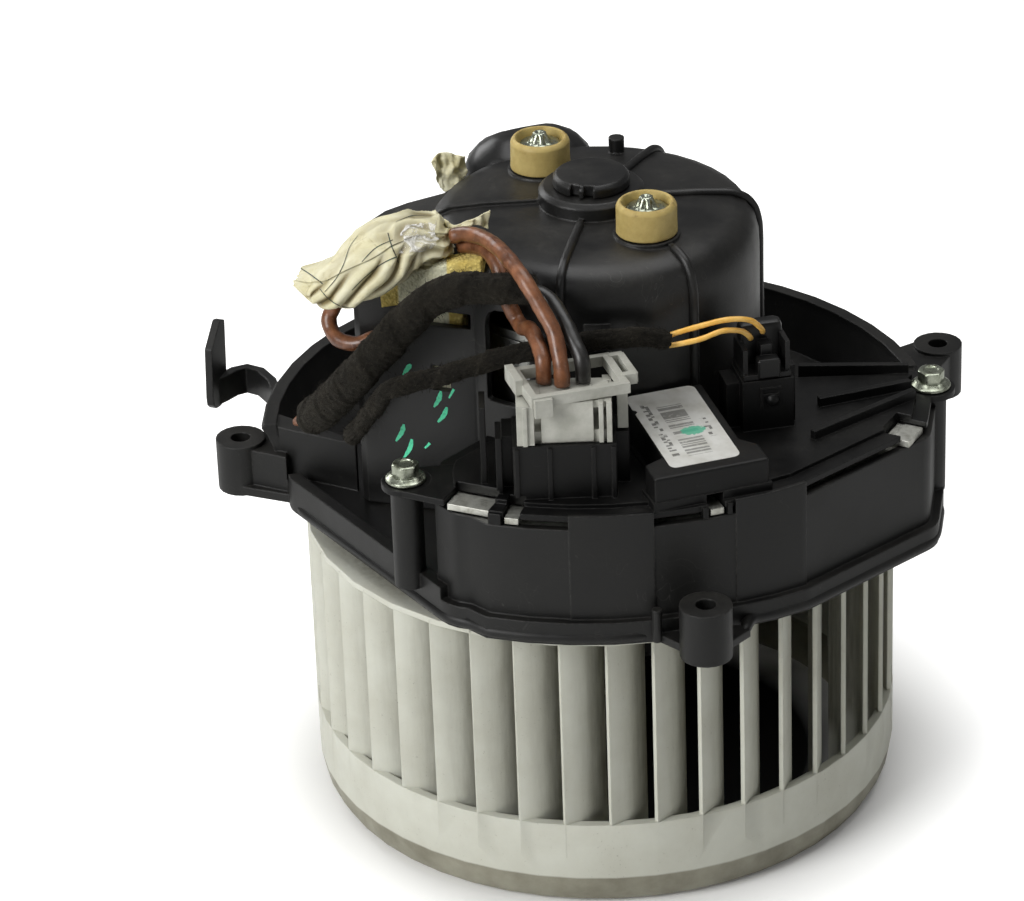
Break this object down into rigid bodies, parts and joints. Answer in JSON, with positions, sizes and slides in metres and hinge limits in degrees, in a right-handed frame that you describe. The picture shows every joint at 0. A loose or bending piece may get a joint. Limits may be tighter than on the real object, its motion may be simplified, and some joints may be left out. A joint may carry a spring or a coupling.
{
  "type": "car cabin blower motor",
  "caption": "Cabin blower with a squirrel-cage fan wheel, round mounting flange, domed motor cover, air duct and a plugged-in controller on its front side.",
  "frame": {"origin": "centre of the motor shaft's free end, inside the fan wheel's eye", "axes": "+Z along the motor shaft toward the motor cover, -Y toward the controller's front wall and its plugs, +X toward the signal plug's side"},
  "size_m": [0.2169, 0.1986, 0.1846],
  "materials": {
    "wheel_plastic": "satin off-white polypropylene",
    "flange_plastic": "satin black glass-filled plastic",
    "cover_plastic": "satin black plastic",
    "holder_plastic": "matt black thermoset",
    "cream_rubber": "matt cream rubber",
    "zinc_steel": "zinc plated",
    "can_steel": "drawn steel",
    "aluminium": "cast",
    "board": "glass-filled laminate",
    "plug_plastic": "satin off-white nylon",
    "foam": "open-cell yellow foam",
    "brown_sleeve": "satin brown cable sleeve",
    "black_sleeve": "satin black cable sleeve",
    "yellow_sleeve": "satin yellow cable sleeve",
    "fleece": "black fleece tape",
    "cream_tape": "crumpled cream tape",
    "ferrite": "matt ferrite",
    "bronze": "sintered bronze",
    "carbon": "pressed carbon",
    "copper": "turned copper"
  },
  "bodies": {
    "housing": {"mounting_flange": "flange_plastic", "motor_cover": "cover_plastic", "bearing_cap": "cover_plastic", "damper_ring_rear": "cream_rubber", "damper_ring_front": "cream_rubber", "damper_screw_rear": "zinc_steel", "damper_screw_front": "zinc_steel", "controller_cover": "cover_plastic", "cover_screw_left": "zinc_steel", "cover_screw_right": "zinc_steel", "heat_sink": "aluminium", "circuit_board": "board", "power_plug": "plug_plastic", "plug_lock": "plug_plastic", "signal_plug": "cover_plastic", "foam_pad": "foam", "brown_wire_front": "brown_sleeve", "brown_wire_rear": "brown_sleeve", "brown_wire_loop": "brown_sleeve", "black_wire": "black_sleeve", "yellow_wire_upper": "yellow_sleeve", "yellow_wire_lower": "yellow_sleeve", "harness_sheath": "fleece", "harness_branch": "fleece", "tape_wrap": "cream_tape", "tape_scrap": "cream_tape", "motor_can": "can_steel", "motor_end_plate": "can_steel", "magnet_left": "ferrite", "magnet_right": "ferrite", "lower_bearing": "bronze", "upper_bearing": "bronze", "brush_holder": "holder_plastic", "brush_front": "carbon", "brush_rear": "carbon"},
    "rotor": {"fan_wheel": "wheel_plastic", "motor_shaft": "zinc_steel", "armature": "can_steel", "commutator": "copper", "hub_clip": "zinc_steel"}
  },
  "joints": [
    {"name": "fan_spin", "type": "hinge", "parent": "housing", "child": "rotor", "pos_m": [0, 0, 0], "axis": [0, 0, 1], "continuous": true}
  ]
}
